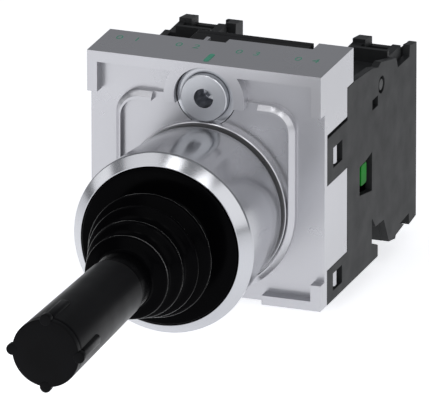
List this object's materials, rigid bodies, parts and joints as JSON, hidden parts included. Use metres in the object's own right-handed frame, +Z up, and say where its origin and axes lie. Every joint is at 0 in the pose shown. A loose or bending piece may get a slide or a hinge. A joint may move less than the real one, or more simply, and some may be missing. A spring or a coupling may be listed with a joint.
{
  "type": "panel-mounted joystick switch",
  "caption": "Booted lever that tilts on two crossed axes in a chrome collar, pressing tappets into contact modules on a square die-cast holder behind the panel.",
  "frame": {"origin": "on the lever's axis, in the plane of the holder's front rims, which lie on the back of the panel", "axes": "+Y into the panel along the lever's axis, the lever points along -Y; +Z up; +X to the right seen from the lever's side"},
  "size_m": [0.04, 0.1192, 0.0401],
  "materials": {
    "chrome": "polished chrome plating",
    "rubber": "black rubber, satin",
    "black_plastic": "black satin plastic",
    "module_plastic": "dark grey plastic",
    "die_cast": "light grey satin coated die casting",
    "bright_steel": "zinc-plated steel",
    "pin_plastic": "grey plastic",
    "brass": "tinned brass",
    "green_plastic": "green plastic",
    "green_print": "green print"
  },
  "bodies": {
    "housing": {"actuator_sleeve": "black_plastic", "bezel_collar": "chrome", "boot_clamp_ring": "black_plastic", "boot_lower": "rubber", "clamp_screw": "bright_steel", "contact_bars_left": "brass", "contact_bars_right": "brass", "cover_screws": "bright_steel", "gate_plate": "black_plastic", "holder_frame": "die_cast", "lock_ring": "bright_steel", "module_left_body": "module_plastic", "module_left_cover": "module_plastic", "module_left_pin": "pin_plastic", "module_right_body": "module_plastic", "module_right_cover": "module_plastic", "module_right_pin": "pin_plastic", "panel_gasket": "rubber", "position_marks": "green_print", "return_spring_down": "bright_steel", "return_spring_left": "bright_steel", "return_spring_right": "bright_steel", "return_spring_up": "bright_steel", "screw_bushing": "bright_steel", "tappet_guide": "black_plastic", "terminal_nuts_left": "bright_steel", "terminal_nuts_right": "bright_steel", "terminal_screws": "bright_steel", "transfer_cover": "black_plastic", "transfer_housing": "black_plastic"},
    "gimbal": {"gimbal_ring": "bright_steel", "gimbal_pins": "bright_steel"},
    "lever": {"lever_hub": "black_plastic", "hub_pins": "bright_steel", "lever_shaft": "bright_steel", "rocker_plate": "bright_steel", "shaft_circlip": "bright_steel", "lever_grip": "black_plastic", "grip_cap": "black_plastic", "boot_upper": "rubber"},
    "plunger_up": {"tappet_up": "black_plastic", "slide_up": "green_plastic", "bridge_up": "brass"},
    "plunger_down": {"tappet_down": "black_plastic", "slide_down": "green_plastic", "bridge_down": "brass"},
    "plunger_left": {"tappet_left": "black_plastic", "slide_left": "green_plastic", "bridge_left": "brass"},
    "plunger_right": {"tappet_right": "black_plastic", "slide_right": "green_plastic", "bridge_right": "brass"}
  },
  "joints": [
    {"name": "tilt_up_down", "type": "hinge", "parent": "housing", "child": "gimbal", "pos_m": [0, -0.009, 0], "axis": [1, 0, 0], "range_deg": [-12, 12], "stiffness_Nm_per_rad": 1.5, "deforming": ["boot_lower"]},
    {"name": "tilt_left_right", "type": "hinge", "parent": "gimbal", "child": "lever", "pos_m": [0, -0.009, 0], "axis": [0, 0, 1], "range_deg": [-12, 12], "stiffness_Nm_per_rad": 1.5, "deforming": ["boot_upper"]},
    {"name": "slide_up", "type": "slide", "parent": "housing", "child": "plunger_up", "axis": [0, 1, 0], "range_m": [-0.0015, 0.0015], "deforming": ["return_spring_up"]},
    {"name": "slide_down", "type": "slide", "parent": "housing", "child": "plunger_down", "axis": [0, 1, 0], "range_m": [-0.0015, 0.0015], "deforming": ["return_spring_down"]},
    {"name": "slide_left", "type": "slide", "parent": "housing", "child": "plunger_left", "axis": [0, 1, 0], "range_m": [-0.0015, 0.0015], "deforming": ["return_spring_left"]},
    {"name": "slide_right", "type": "slide", "parent": "housing", "child": "plunger_right", "axis": [0, 1, 0], "range_m": [-0.0015, 0.0015], "deforming": ["return_spring_right"]}
  ],
  "couplings": [
    {"joint": "slide_up", "follows": "tilt_up_down", "m_per_rad": -0.0071},
    {"joint": "slide_down", "follows": "tilt_up_down", "m_per_rad": 0.0071},
    {"joint": "slide_right", "follows": "tilt_left_right", "m_per_rad": 0.0071},
    {"joint": "slide_left", "follows": "tilt_left_right", "m_per_rad": -0.0071}
  ]
}
